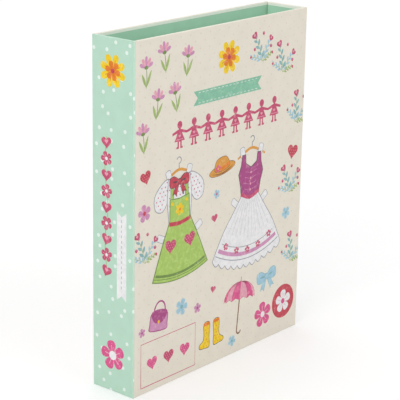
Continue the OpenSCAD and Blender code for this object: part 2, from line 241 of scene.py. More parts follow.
def round_dots_group():
    """Round dots on a flat place in millimetres, about a Spacing apart and moved by Scatter."""
    group, given, out = node_group(
        "round_dots", {"Place": "Vector", "Spacing": "Float", "Radius": "Float", "Scatter": "Float"},
        {"Mask": "Float"})
    place = scaled(group, given["Place"], maths(group, "DIVIDE", 1.0, given["Spacing"]))
    cells = add_node(group, "TexVoronoi", {"Vector": place, "Scale": 1.0, "Randomness": given["Scatter"]},
                     voronoi_dimensions="2D")
    reach = maths(group, "MULTIPLY", cells.outputs["Distance"], given["Spacing"])
    inside = maths(group, "SUBTRACT", given["Radius"], reach)
    soft = add_node(group, "Clamp", {0: maths(group, "MULTIPLY_ADD", inside, DOT_SHARPNESS, 0.5)})
    group.links.new(soft.outputs[0], out["Mask"])
    return group


def rubbed_and_highlit_edge_group():
    """Where a printed edge is paled by wear and by a painted highlight. Distance is from the edge, in
    millimetres.
    """
    group, given, out = node_group(
        "rubbed_and_highlit_edge", {"Place": "Vector", "Distance": "Float", "Width": "Float"}, {"Mask": "Float"})
    rough = add_node(group, "TexNoise", {"Vector": given["Place"], "Scale": 0.35, "Detail": 5.0,
                                         "Roughness": 0.7})
    share = maths(group, "DIVIDE", given["Distance"], given["Width"])
    bite = maths(group, "MULTIPLY_ADD", rough.outputs[0], 2.6, -0.9)
    kept = add_node(group, "Clamp", {0: maths(group, "SUBTRACT", bite, share)})
    group.links.new(kept.outputs[0], out["Mask"])
    return group


PAPER_FIBRE = paper_fibre_group()
ROUND_DOTS = round_dots_group()
RUBBED_AND_HIGHLIT_EDGE = rubbed_and_highlit_edge_group()
CREAM = linear(240, 233, 218)
CREAM_SPECK = linear(216, 202, 184)
MINT = linear(190, 225, 204)
DOT_INK = linear(234, 248, 240)
BARE_PAPER = linear(246, 243, 236)
MINT_OVER_BACK = 0.4         # millimetres of the mint band that reach round the fold to the back
MINT_OVER_FRONT = 0.9        # and round the fold to the front


def mix_colours(tree, factor, a, b):
    """The colour between a and b."""
    return add_node(tree, "Mix", {0: factor, 6: a, 7: b}, data_type="RGBA").outputs[2]


def new_material(name):
    """A material with a Principled shader, and its node tree."""
    material = bpy.data.materials.new(name)
    material.use_nodes = True
    return material, material.node_tree


def finish_paper(material, colour, in_mm, roughness, relief, wash=None, height=None):
    """Sets a paper's colour, roughness and relief on its shader, with fibres that follow a place."""
    tree = material.node_tree
    shader = tree.nodes["Principled BSDF"]
    fibre = link_group(tree, PAPER_FIBRE, {"Place": in_mm})
    shade = maths(tree, "MULTIPLY", fibre["Shade"], wash) if wash else fibre["Shade"]
    tree.links.new(scaled(tree, colour, shade), shader.inputs["Base Color"])
    shader.inputs["Roughness"].default_value = roughness
    shader.inputs["Specular IOR Level"].default_value = 0.35
    bump = add_node(tree, "Bump", {"Height": height or fibre["Height"], "Distance": relief, "Strength": 0.5})
    tree.links.new(bump.outputs[0], shader.inputs["Normal"])
    return material


def cover_print():
    """Cream with faint specks, a mint spine with white dots, and wear and painted highlight on folds and
    edges.
    """
    material, tree = new_material("cover_print")
    in_mm = scaled(tree, add_node(tree, "UVMap", (), uv_map="flat").outputs[0], 1 / mm)
    across, up, _ = add_node(tree, "SeparateXYZ", {0: in_mm}).outputs
    aslant = add_node(tree, "VectorRotate", {"Vector": in_mm, "Angle": math.radians(45)},
                      rotation_type="Z_AXIS")
    specks = link_group(tree, ROUND_DOTS, {"Place": aslant.outputs[0], "Spacing": 7.4, "Radius": 0.62,
                                           "Scatter": 0.1})
    ground = mix_colours(tree, maths(tree, "MULTIPLY", specks[0], 0.42), CREAM, CREAM_SPECK)
    turned_in = maths(tree, "GREATER_THAN", up, TURNED_UP / 2 / mm)
    ground = mix_colours(tree, maths(tree, "MULTIPLY", turned_in, 0.9), ground, BARE_PAPER)
    dots = link_group(tree, ROUND_DOTS, {"Place": in_mm, "Spacing": 12.8, "Radius": 1.4, "Scatter": 0.75})
    spine = mix_colours(tree, dots[0], MINT, DOT_INK)
    past_back = maths(tree, "GREATER_THAN", across, -CASE_D / mm - MINT_OVER_BACK)
    on_spine = maths(tree, "MULTIPLY", past_back, maths(tree, "LESS_THAN", across, MINT_OVER_FRONT))
    printed = mix_colours(tree, on_spine, ground, spine)
    nearest = maths(tree, "MINIMUM", maths(tree, "ABSOLUTE", up),
                    maths(tree, "ABSOLUTE", maths(tree, "SUBTRACT", up, CASE_H / mm)))
    for line in list(SHEET_START.values()) + [CASE_W + FLAP_W]:
        distance = maths(tree, "ABSOLUTE", maths(tree, "SUBTRACT", across, line / mm))
        nearest = maths(tree, "MINIMUM", nearest, distance)
    # Folds and edges pale towards bare paper: partly real wear, partly a painted highlight that stands in
    # for light on the rounded folds and edges.
    rubbed_and_highlit = link_group(tree, RUBBED_AND_HIGHLIT_EDGE, {"Place": in_mm, "Distance": nearest, "Width": 0.7})
    worn_and_highlit = mix_colours(tree, maths(tree, "MULTIPLY", rubbed_and_highlit[0], 0.55), printed, BARE_PAPER)
    return finish_paper(material, worn_and_highlit, in_mm, 0.48, 0.03 * mm)


COVER_PRINT = cover_print()


def new_piece(name, bm, material, body):
    """Turns a finished mesh into a piece that rides on a body."""
    mesh = bpy.data.meshes.new(name)
    bm.to_mesh(mesh)
    bm.free()
    mesh.materials.append(material)
    piece = bpy.data.objects.new(name, mesh)
    bpy.context.scene.collection.objects.link(piece)
    if body:
        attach(piece, body)
    return piece


def thicken(piece, thickness):
    """Gives a sheet its thickness, on the side that it turns away from."""
    solid = piece.modifiers.new("paper", "SOLIDIFY")
    solid.thickness = thickness
    solid.offset = -1


def verts_of(geometry):
    """The vertices among the geometry that an operator gives back."""
    return [v for v in geometry if isinstance(v, bmesh.types.BMVert)]


def box_between(bm, low, high):
    """A box between two corners, as part of the mesh."""
    low, high = Vector(low), Vector(high)
    size = Matrix.Diagonal((high - low).to_4d())
    size[3][3] = 1
    return bmesh.ops.create_cube(bm, size=1, matrix=Matrix.Translation((low + high) / 2) @ size)["verts"]


def close_fold(bm, fold, sense):
    """The paper tucked in at both ends of a fold: mitred caps, and strips over the board's end."""
    corners = [(FOLD_HALF, 0.34 * mm), (FOLD_HALF, PANEL_T), (PANEL_T, PANEL_T), (0.59 * mm, 0.59 * mm),
               (0.87 * mm, 0.42 * mm), (1.2 * mm, 0.36 * mm), (1.8 * mm, 0.5 * mm), (2.4 * mm, 0.5 * mm)]
    for z, up in ((CASE_H - TUCK_DROP, 1), (TUCK_DROP, -1)):
        cap = bm.faces.new([bm.verts.new((fold + sense * x, y, z)) for x, y in corners])
        ends = [(0.34 * mm, PAPER_T), (PANEL_T, PAPER_T), (PANEL_T, TUCK_SHOWN), (0.34 * mm, TUCK_SHOWN)]
        over = fold + sense * (FOLD_HALF - 0.1 * mm)
        strip = bm.faces.new([bm.verts.new((over, y, z - up * down)) for y, down in ends])
        for face in (cap, strip):
            if up * sense < 0:
                face.normal_flip()


def map_flat(bm, start):
    """Gives a panel of the sheet its part of the flat map."""
    flat = bm.loops.layers.uv.new("flat")
    bm.normal_update()
    for face in bm.faces:
        side, end = face.normal.x, face.normal.z
        for loop in face.loops:
            x, y, z = loop.vert.co
            x += y * round(side) if abs(side) > FACING else 0
            z += y * round(end) if abs(end) > FACING else 0
            loop[flat].uv = (start + x, z + TURNED_UP * (face.normal.y > FACING))


def wrapped_panel(panel, width, place, fold_low, fold_high, body):
    """The paper round one board, with the outer face on the plane y = 0, before it is put in place."""
    low = FOLD_HALF if fold_low else 0.0
    high = width - FOLD_HALF if fold_high else width
    bm = bmesh.new()
    box_between(bm, (low, 0, 0), (high, PANEL_T, CASE_H))
    folds = [x for x, is_fold in ((low, fold_low), (high, fold_high)) if is_fold]

    def at_fold(element):
        return any(all(abs(v.co.x - x) < 1e-7 for v in element.verts) for x in folds)

    outer = [e for e in bm.edges if not at_fold(e)]
    bmesh.ops.bevel(bm, geom=outer, offset=EDGE_R, affect="EDGES", segments=4, profile=0.5, material=-1)
    bmesh.ops.delete(bm, geom=[f for f in bm.faces if at_fold(f)], context="FACES_ONLY")
    cuts = [((0, 0, z), (0, 0, 1)) for z in (TURN_IN, CASE_H - TURN_IN)]
    cuts += [((x, 0, 0), (1, 0, 0)) for x, is_fold in ((TURN_IN, fold_low), (width - TURN_IN, fold_high))
             if not is_fold]
    for point, normal in cuts:
        inner = [f for f in bm.faces if f.normal.y > 0.9 and f.calc_center_median().y > PANEL_T - 1e-6]
        rims = {e for f in inner for e in f.edges}
        ends = {v for f in inner for v in f.verts}
        bmesh.ops.bisect_plane(bm, geom=inner + list(rims) + list(ends), plane_co=point, plane_no=normal)
    opened = []
    for face in bm.faces:
        x, y, z = face.calc_center_median()
        beside = (fold_low or x > TURN_IN) and (fold_high or x < width - TURN_IN)
        if y > PANEL_T - 1e-6 and beside and TURN_IN < z < CASE_H - TURN_IN:
            opened.append(face)
    bmesh.ops.delete(bm, geom=opened, context="FACES")
    if fold_low:
        close_fold(bm, 0, 1)
    if fold_high:
        close_fold(bm, width, -1)
    map_flat(bm, SHEET_START[panel])
    bmesh.ops.transform(bm, matrix=place, verts=bm.verts)
    piece = new_piece(panel + "_wrap", bm, COVER_PRINT, body)
    thicken(piece, PAPER_T)
    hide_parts(panel + "_cover_paper")
    return piece


def fold_paper(name, place, start, bodies):
    """The free paper round one fold, which bends when the fold opens."""
    bm = bmesh.new()
    flat_steps, round_steps = 6, 8
    leg = [(FOLD_HALF + (FOLD_R - FOLD_HALF) * i / flat_steps, FOLD_DIP * math.sin(math.pi * i / flat_steps))
           for i in range(flat_steps)]
    profile = [(y, x) for x, y in leg]
    for i in range(round_steps + 1):
        turn = math.radians(90) * i / round_steps
        profile.append((FOLD_R * (1 - math.cos(turn)), FOLD_R * (1 - math.sin(turn))))
    profile += leg[::-1]
    verts = [bm.verts.new((x, y, 0)) for x, y in profile]
    edges = [bm.edges.new(pair) for pair in zip(verts, verts[1:])]
    raised = bmesh.ops.extrude_edge_only(bm, edges=edges)["geom"]
    bmesh.ops.translate(bm, vec=(0, 0, CASE_H), verts=verts_of(raised))
    flat = bm.loops.layers.uv.new("flat")
    for face in bm.faces:
        for loop in face.loops:
            x, y, z = loop.vert.co
            loop[flat].uv = (start + x - y, z)
    bm.normal_update()
    if sum(f.normal.x + f.normal.y for f in bm.faces) > 0:
        bmesh.ops.reverse_faces(bm, faces=bm.faces)
    bmesh.ops.transform(bm, matrix=place, verts=bm.verts)
    piece = new_piece(name, bm, COVER_PRINT, None if len(bodies) > 1 else bodies[0])
    thicken(piece, PAPER_T * 1.5)
    if len(bodies) > 1:
        half = FOLD_R * 0.9
        away = place @ Vector((-half, half, CASE_H / 2))
        along = place @ Vector((half, -half, CASE_H / 2))
        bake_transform(piece, bodies[0], bodies[1], start=away, end=along)
    return piece


wrapped_panel("back", CASE_W, back_place, False, True, "case")
wrapped_panel("spine", CASE_D, spine_place, True, True, "case")
wrapped_panel("front", CASE_W, front_place, True, True, "cover")
wrapped_panel("flap", FLAP_W, flap_place, True, False, "flap")
fold_paper("back_fold", spine_place, SHEET_START["spine"], ["case"])
fold_paper("cover_fold", front_place, 0.0, ["case", "cover"])
fold_paper("flap_fold", flap_place, CASE_W, ["cover", "flap"])

# The front's print
# The front is printed with a paper chain, a ribbon, clothes for dolls and flowers. Each touch of
# ink is a closed prism a few hundredths of a millimetre thick that keeps its colour in the mesh.
INK_STEP = 0.02              # millimetres by which a later layer of ink stands higher
INK_SUB_STEP = 0.07          # share of that step between touches that overlap in one layer
INK_SUB_STEPS = 13           # touches before these smaller steps start again
FOLD_MARGIN = 0.9            # millimetres of paper left bare beside a fold
EDGE_MARGIN = 0.7            # and beside a turned-in edge
stand_up = Matrix.Rotation(math.radians(90), 4, "X")

ROSE = linear(204, 78, 116)
PINK = linear(226, 88, 146)
BLUSH = linear(236, 168, 186)
RED = linear(202, 66, 84)
LILAC = linear(214, 150, 190)
PURPLE = linear(176, 74, 136)
SKY = linear(168, 208, 226)
SEA = linear(140, 186, 190)
JADE = linear(140, 200, 170)
LEAF = linear(166, 190, 112)
MOSS = linear(118, 148, 76)
LIME = linear(176, 208, 104)
YELLOW = linear(250, 212, 30)
ORANGE = linear(236, 132, 36)
STRAW = linear(226, 160, 70)
BROWN = linear(132, 86, 54)
WHITE = linear(244, 243, 244)
GREY = linear(150, 150, 160)
DARK = linear(84, 70, 74)


def turns(steps):
    """The angles of a full turn."""
    return [math.tau * i / steps for i in range(steps)]


def oval(length, width, steps=20):
    """An oval about zero."""
    return [(length / 2 * math.cos(t), width / 2 * math.sin(t)) for t in turns(steps)]


def leaf(length, width, steps=16):
    """A leaf that starts at zero and is pointed at both ends."""
    return [(length * (1 + math.cos(t)) / 2, width / 2 * math.sin(t) * abs(math.sin(t)))
            for t in turns(steps)]


def petal(length, width, steps=24):
    """A petal that starts narrow at zero and ends round."""
    return [(length * (1 + math.cos(t)) / 2, width / 2 * math.sin(t) * (0.6 + 0.4 * math.cos(t)))
            for t in turns(steps)]


def heart(size, steps=32):
    """A heart about zero, with its point down."""
    return [(size / 2 * math.sin(t) ** 3,
             size / 32 * (13 * math.cos(t) - 5 * math.cos(2 * t) - 2 * math.cos(3 * t) - math.cos(4 * t)))
            for t in turns(steps)]


def arc(x, y, radius, start, end, steps):
    """Points on an arc, between two angles in degrees."""
    angles = [math.radians(start + (end - start) * i / steps) for i in range(steps + 1)]
    return [(x + radius * math.cos(a), y + radius * math.sin(a)) for a in angles]


def smooth(points, steps=4, closed=True):
    """A smooth curve through all the points."""
    count = len(points)
    curve = []
    for i in range(count if closed else count - 1):
        a, b, c, d = (Vector(points[j % count] if closed else points[min(max(j, 0), count - 1)])
                      for j in range(i - 1, i + 3))
        for k in range(steps):
            f = k / steps
            curve.append(tuple(b + (f * (c - a) + f ** 2 * (2 * a - 5 * b + 4 * c - d)
                                    + f ** 3 * (3 * b - a - 3 * c + d)) / 2))
    return curve if closed else curve + [tuple(points[-1])]


def mirrored(right):
    """The whole outline from its right half, which is drawn upwards."""
    return list(right) + [(-x, y) for x, y in reversed(right) if abs(x) > 1e-6]


def flipped(outline):
    """The same outline, seen in a mirror."""
    return [(-x, y) for x, y in outline]


def stroke(points, width, tip=1.0):
    """A brush stroke along the points, which narrows to the tip's share of its width at its ends."""
    left, right = [], []
    last = len(points) - 1
    for i, point in enumerate(points):
        ahead = Vector(points[min(i + 1, last)]) - Vector(points[max(i - 1, 0)])
        aside = Vector((-ahead.y, ahead.x)).normalized()
        half = width / 2 * (tip + (1 - tip) * math.sin(math.pi * i / last))
        left.append(tuple(Vector(point) + half * aside))
        right.append(tuple(Vector(point) - half * aside))
    return right + left[::-1]


def grown(outline, distance):
    """The outline moved outwards on every side."""
    count = len(outline)
    area = sum(outline[i - 1][0] * outline[i][1] - outline[i][0] * outline[i - 1][1] for i in range(count))
    sense = math.copysign(1, area)
    moved = []
    for i in range(count):
        back, here, ahead = (Vector(outline[(i + k) % count]) for k in (-1, 0, 1))
        a, b = (Vector((v.y, -v.x)).normalized() * sense for v in (here - back, ahead - here))
        moved.append(tuple(here + distance * (a + b) / max(1 + a.dot(b), 0.4)))
    return moved


class Pen:
    """Draws on a flat print in millimetres, from a place and a layer of its own."""

    def __init__(self, bm=None, place=None, layer=1):
        if bm is None:
            bm, place = bmesh.new(), Matrix()
            bm.verts.layers.float_color.new("ink")
            bm.verts.layers.float.new("layer")
        self.bm, self.place, self.layer = bm, place, layer

    def at(self, x=0, y=0, turn=0, size=1, up=0):
        """A pen that is moved, turned by degrees, enlarged, and some layers higher."""
        place = (Matrix.Translation((x, y, 0)) @ Matrix.Rotation(math.radians(turn), 4, "Z")
                 @ Matrix.Diagonal((size, size, 1, 1)))
        return Pen(self.bm, self.place @ place, self.layer + up)

    def touch(self, outline, colour, up=0):
        """One touch of ink, as a flat face for now."""
        ink = self.bm.verts.layers.float_color["ink"]
        depth = self.bm.verts.layers.float["layer"]
        layer = self.layer + up + INK_SUB_STEP * (len(self.bm.faces) % INK_SUB_STEPS)
        verts = [self.bm.verts.new(self.place @ Vector((x, y, 0))) for x, y in outline]
        for vert in verts:
            vert[ink], vert[depth] = colour, layer
        self.bm.faces.new(verts)

    def drawn(self, outline, colour, line_colour, up=0, line=0.45):
        """A touch of ink with a thin line drawn round it."""
        self.touch(grown(outline, line / 2), line_colour, up)
        self.touch(grown(outline, -line / 2), colour, up + 1)

    def line(self, points, width, colour, up=0, tip=1.0):
        """A stroke from point to point."""
        self.touch(stroke(points, width, tip), colour, up)

    def swept(self, points, width, colour, up=0, tip=1.0):
        """A stroke along a smooth curve through the points."""
        self.line(smooth(points, 4, False), width, colour, up, tip)

    def dot(self, x, y, size, colour, up=0, steps=10):
        """A round touch."""
        self.at(x, y).touch(oval(size, size, steps), colour, up)

    def dots(self, outline, spacing, size, colour, up=0):
        """Small dots in rows, kept inside an outline."""
        xs, ys = zip(*outline)
        row = 0
        y = min(ys) + spacing / 2
        while y < max(ys):
            x = min(xs) + spacing * (0.5 + 0.5 * (row % 2))
            while x < max(xs):
                if all(inside(outline, x + dx, y + dy) for dx, dy in oval(size * 1.6, size * 1.6, 6)):
                    self.dot(x, y, size, colour, up, 8)
                x += spacing
            row += 1
            y += spacing * 0.8


def inside(outline, x, y):
    """Whether a point lies in an outline."""
    hit = False
    for i, (bx, by) in enumerate(outline):
        ax, ay = outline[i - 1]
        if (ay > y) != (by > y) and x < (bx - ax) * (y - ay) / (by - ay) + ax:
            hit = not hit
    return hit


def ink_material():
    """Ink of any colour, laid on unevenly like watercolour, with the paper's grain in it."""
    material, tree = new_material("print_ink")
    ink = add_node(tree, "Attribute", attribute_name="ink").outputs["Color"]
    in_mm = scaled(tree, add_node(tree, "TexCoord").outputs["Object"], 1 / mm)
    cloud = add_node(tree, "TexNoise", {"Vector": in_mm, "Scale": 0.30, "Detail": 3.0,
                                        "Distortion": 0.8}).outputs[0]
    washed = mix_colours(tree, ranged(tree, cloud, 0.0, 0.35, 0.55, 0.85), ink, CREAM)
    return finish_paper(material, washed, in_mm, 0.45, 0.02 * mm, wash=ranged(tree, cloud, 0.90, 1.08))


PRINT_INK = ink_material()


def trim(pen, left, right):
    """Cuts a panel's print off beside its folds or edges, and at the top and bottom edge."""
    for point, normal in (((left, 0, 0), (-1, 0, 0)), ((0, EDGE_MARGIN, 0), (0, -1, 0)),
                          ((right, 0, 0), (1, 0, 0)), ((0, CASE_H / mm - EDGE_MARGIN, 0), (0, 1, 0))):
        everything = pen.bm.verts[:] + pen.bm.edges[:] + pen.bm.faces[:]
        bmesh.ops.bisect_plane(pen.bm, geom=everything, plane_co=point, plane_no=normal, clear_outer=True)


def lay_print(name, pen, place, body):
    """Gives every touch of ink its thickness and puts the print on the face of its panel."""
    bm = pen.bm
    raised = bmesh.ops.extrude_face_region(bm, geom=list(bm.faces))["geom"]
    depth = bm.verts.layers.float["layer"]
    for vert in bm.verts:
        vert.co.z = -INK_STEP
    for vert in verts_of(raised):
        vert.co.z = vert[depth] * INK_STEP
    bmesh.ops.recalc_face_normals(bm, faces=bm.faces)
    bmesh.ops.transform(bm, matrix=place @ stand_up @ Matrix.Scale(mm, 4), verts=bm.verts)
    return new_piece(name, bm, PRINT_INK, body)


def blossom(pen, colour, eye_colour, size, petals=5):
    """An open flower with round petals."""
    for k in range(petals):
        here = pen.at(turn=360 * k / petals + 18)
        here.touch(petal(size / 2, size * 2.6 / petals), colour)
        here.line([(size * 0.14, 0), (size * 0.34, 0)], size * 0.03, eye_colour, 1, 0.4)
    pen.dot(0, 0, size * 0.24, eye_colour, 1, 20)


def double_blossom(pen, size):
    """A yellow flower with a smaller orange one in it."""
    blossom(pen.at(turn=8), YELLOW, RED, size, 8)
    blossom(pen.at(turn=30, up=2), ORANGE, RED, size - 10, 6)


def twig(pen, length, bend, colour):
    """A bent stem with leaves on both sides. It gives a pen at its tip."""
    def along(f):
        return length * f, bend * f ** 2
    pen.line([along(i / 8) for i in range(9)], 0.5, LEAF, 0, 0.5)
    for i in range(7):
        f = (i + 1) / 7.6
        heading = math.degrees(math.atan2(2 * bend * f, length)) + (38 if i % 2 else -38)
        size = length * (0.30 - 0.10 * f)
        pen.at(*along(f), heading).touch(leaf(size, size * 0.44), colour, 1)
    return pen.at(*along(1), math.degrees(math.atan2(2 * bend, length)))


def spray(pen):
    """A loose bunch of pale and green twigs, which end in hearts and berries."""
    for turn, length, bend, tint, size in ((58, 17, -3, SKY, 5.2), (96, 21, 2.5, SEA, 6.2),
                                           (134, 15, 3.5, SKY, 0), (22, 12, -2, LEAF, 0)):
        tip = twig(pen.at(turn=turn), length, bend, tint)
        if size:
            tip.at(size * 0.3, 0, -90).touch(heart(size), ROSE, 2)
            tip.at(size * 0.34, 0, -90).touch(heart(size * 0.4), BLUSH, 3)
        else:
            tip.dot(0, 0, 2.2, ROSE, 2)
    for x, y in ((-7.5, 12.5), (5.2, 20.5), (11.5, 8.0)):
        pen.dot(x, y, 2.6, ROSE, 2, 12)
        pen.dot(x + 0.3, y + 0.3, 1.0, BLUSH, 3, 8)


def bud(pen):
    """A flower like an open fan on a tall stem between two long leaves."""
    pen.swept([(0, 0), (0.6, 7), (0, 15)], 0.6, MOSS, 0, 0.6)
    for side, length in ((1, 13), (-1, 11)):
        pen.at(0, 0.5, 90 - 24 * side).touch(leaf(length, 2.3), LEAF)
    for k in range(5):
        fan = pen.at(0, 14, 26 + 32 * k)
        fan.touch(petal(8.4 - 0.5 * abs(k - 2), 3.8), (LILAC, BLUSH)[k % 2], 1 + k % 2)
    pen.at(0, 14.4).touch(oval(4.0, 2.6, 12), MOSS, 3)


def dotted_heart(pen, size, colour):
    """A heart with pale dots."""
    pen.touch(heart(size), colour)
    pen.dots(heart(size), size * 0.2, size * 0.06, BLUSH, 1)


def paper_chain(pen, count, pitch):
    """Cut-out figures in a row, who hold hands."""
    hand = pitch / 2
    figure = mirrored([(0.7, 5.0), (0.7, 0), (3.4, 0), (3.4, 1.3), (2.2, 1.6), (2.2, 5.4), (5.6, 5.4),
                       (2.4, 11.4), (hand, 10.2), (hand, 12.0), (2.8, 13.6), (1.0, 14.0), (1.0, 14.8)])
    for k in range(count):
        here = pen.at((k - (count - 1) / 2) * pitch)
        here.touch(figure, ROSE, k % 2)
        here.at(0, 17.2).touch(oval(5.2, 5.6), ROSE, k % 2)
        here.at(0, 9.2).touch(heart(2.6), BLUSH, 3)
        here.line([(-3.8, 6.7), (3.8, 6.7)], 0.5, BLUSH, 3)


def stitched_ribbon(pen, length, width, colour):
    """A bare ribbon with swallow-tail ends and a row of stitches along each edge."""
    notch = width * 0.42
    pen.touch([(0, 0), (length, 0), (length - notch, width / 2), (length, width), (0, width),
               (notch, width / 2)], colour)
    stitches = int(length / 4.2)
    for k in range(stitches):
        x = length * (k + 0.5) / stitches
        if notch * 0.8 < x < length - notch * 0.8:
            for y in (width * 0.14, width * 0.86):
                pen.line([(x - 1.1, y), (x + 1.1, y)], 0.4, WHITE, 1)


def hanger(pen):
    """A clothes hanger whose hook starts at zero."""
    pen.line(arc(0, -2, 1.9, 157.5, -90, 11) + [(0, -5), (0, -7.5)], 0.6, GREY)
    pen.swept([(-13, -12.6), (-7, -9.6), (0, -7.4), (7, -9.6), (13, -12.6)], 1.7, STRAW, 0, 0.7)


def tabs(pen, *spots):
    """Pairs of white paper tabs that fold round a doll."""
    tab = [(-2.1, 0), (2.1, 0), (2.1, 5.2), (1.2, 6), (-1.2, 6), (-2.1, 5.2)]
    for x, y, turn in spots:
        for way in (1, -1):
            pen.at(x * way, y, turn * way).drawn(tab, WHITE, GREY, 0, 0.3)


def party_dress(pen):
    """A purple bodice over a wide white skirt with a scalloped hem and a lilac ribbon."""
    scallops, reach, fall = 11, 33.0, -72.0
    hem = []
    for i in range(scallops * 4 + 1):
        f = i / (scallops * 4)
        x = reach * (1 - 2 * f)
        hem.append((x, fall - 8 * (1 - (2 * f - 1) ** 2) - 2.4 * abs(math.sin(scallops * math.pi * f))))
    side = smooth([(8, -36), (15, -45), (24.5, -57), (reach, fall)], 4, False)[:-1]
    hanger(pen)
    tabs(pen, (8, -12, -14), (12, -41, -52))
    pen.drawn(side + hem + flipped(side)[::-1], WHITE, GREY, 2)
    for inner, width, tint in ((0.84, 2.4, LILAC), (0.92, 0.5, GREY), (0.74, 0.4, GREY)):
        band = [(x * inner, -36 + (fall - 8 * (1 - (x / reach) ** 2) + 36) * inner) for x, y in hem]
        pen.line(band, width, tint, 4)
    for k in range(-5, 6):
        pen.line([(k * 1.25, -37), (k * 3.9, abs(k) - 63)], 0.35, GREY, 4, 0.3)
    for k in range(-2, 3):
        blossom(pen.at(10.4 * k, -71 + 1.5 * k * k, up=5), ROSE, WHITE, 4.6)
    bodice = mirrored([(0, -39), (8.4, -36), (9.4, -30), (11.6, -22.5), (9.4, -17), (8.8, -11), (5.8, -11),
                       (5.2, -16.4), (0, -19.4)])
    pen.drawn(bodice, PURPLE, DARK, 5)
    for k in range(4):
        pen.dot(0, -22.5 - 3.6 * k, 1.5, BLUSH, 7)
        for way in (1, -1):
            pen.line([(1.2 * way, -22.6 - 3.6 * k), (5.4 * way, -21.4 - 3.6 * k)], 0.6, LILAC, 7, 0.4)
    pen.swept([(-8.6, -35), (0, -38), (8.6, -35)], 2.2, ROSE, 7)


def pinafore(pen):
    """A green pinafore with heart-shaped pockets over a white blouse with a red bow."""
    hanger(pen)
    tabs(pen, (8, -12, -16), (14, -46, -62))
    sleeve = smooth([(8, -11.6), (14.5, -12.6), (21, -19), (20.5, -27), (14.5, -29), (10, -23)], 3)
    blouse = mirrored([(0, -39), (9.2, -39), (10.6, -24), (9.4, -11.6), (4.6, -10.6), (0, -14.5)])
    for cloth, up in ((sleeve, 2), (flipped(sleeve), 2), (blouse, 4)):
        pen.drawn(cloth, WHITE, GREY, up)
        pen.dots(grown(cloth, -0.6), 3.0, 0.9, ROSE, up + 2)
    for way in (1, -1):
        for width, tint, up in ((3.0, MOSS, 6), (2.2, LIME, 7)):
            pen.line([(6.0 * way, -11.2), (6.4 * way, -25)], width, tint, up)
    skirt = mirrored([(3 * k, -73 + k * k / 16) for k in range(9)] + [(16.5, -52), (9, -37)])
    bib = mirrored([(0, -39), (8.8, -39), (8.2, -23.5), (0, -24.5)])
    for cloth in (skirt, bib):
        pen.drawn(cloth, LIME, MOSS, 8, 0.6)
    for inner, width in ((0.90, 1.6), (0.95, 0.5)):
        band = [(x * 24 * inner, -37 - (36 - 4 * x * x) * inner) for x in (k / 8 for k in range(-8, 9))]
        pen.line(band, width, MOSS, 10)
    for way in (1, -1):
        dotted_heart(pen.at(8.4 * way, -51, 8 * way, up=10), 9.5, ROSE)
        pen.dot(6.2 * way, -26.5, 2.2, YELLOW, 10, 12)
    blossom(pen.at(0, -31, up=10), YELLOW, ORANGE, 7.5, 6)
    pen.swept([(-9, -38), (0, -39.2), (9, -38)], 2.4, RED, 12)
    hair_bow(pen.at(0, -14.5, size=0.7, up=12), RED, DARK)


def hair_bow(pen, colour, line_colour):
    """A ribbon tied in a bow."""
    for way in (1, -1):
        tail = [(0, 0), (3.6 * way, -0.6), (8.6 * way, -10), (5.8 * way, -9), (4.0 * way, -11.4)]
        loop = smooth([(0, 0.9), (6 * way, 5.4), (11.5 * way, 4.2), (11.5 * way, -2.8), (6 * way, -3.8),
                       (0, -0.9)], 3)
        pen.drawn(tail, colour, line_colour, 0, 0.4)
        pen.drawn(loop, colour, line_colour, 2, 0.4)
        pen.at(1.8 * way, 0.3, 90 - 84 * way).touch(leaf(6.5, 1.6), line_colour, 4)
    pen.drawn(oval(4.4, 5.0), colour, line_colour, 5, 0.4)


def umbrella(pen):
    """An open umbrella with a hooked handle."""
    pen.line([(0, 0), (0, -14)] + arc(2.4, -25, 2.4, 180, 360, 8), 1.2, BROWN)
    pen.line([(0, 14), (0, 18.5)], 1.0, BROWN, 0, 0.5)
    ribs = [19 * math.sin(math.radians(30 * k - 90)) for k in range(7)]
    fall = [math.radians(15 * k) for k in range(7)]
    for k, (near, far) in enumerate(zip(ribs, ribs[1:])):
        left, right = ([(rib * math.sin(t), 15 * math.cos(t)) for t in fall] for rib in (near, far))
        panel = left + [((near + far) / 2, 1.8)] + right[:0:-1]
        pen.drawn(panel, (PINK, BLUSH)[k % 2], ROSE, 1, 0.3)


def boots(pen, colour, dot_colour):
    """A pair of boots with dots and pale cuffs."""
    boot = smooth([(0, 0), (5, -0.2), (9.6, 0.4), (9.8, 3), (6.4, 5.2), (5.4, 9), (5.6, 17), (-0.2, 17),
                   (0.2, 8)], 3)
    for outline, way in ((boot, 1), (flipped(boot), -1)):
        here = pen.at(2.2 * way)
        here.drawn(outline, colour, DARK)
        here.dots(grown(outline, -0.5), 2.8, 0.9, dot_colour, 2)
        here.line([(-0.4 * way, 16.4), (5.8 * way, 16.4)], 2.2, dot_colour, 3)


def sun_hat(pen):
    """A straw hat with a ribbon and a flower."""
    pen.drawn(oval(34, 9.5, 28), STRAW, BROWN)
    pen.drawn(smooth(mirrored([(0, -1.6), (9.5, 0.5), (8.6, 6.5), (4.5, 10.2)])), STRAW, BROWN, 2)
    pen.swept([(-9.3, 2.6), (0, 0.6), (9.3, 2.6)], 2.8, ORANGE, 4)
    for k in range(3):
        plait = [(-14 + 2 * k, -0.8 - k), (0, -3.2 - 0.5 * k), (14 - 2 * k, -0.8 - k)]
        pen.swept(plait, 0.3, BROWN, 4, 0.4)
    blossom(pen.at(-5.5, 2, up=5), PINK, YELLOW, 6.5)


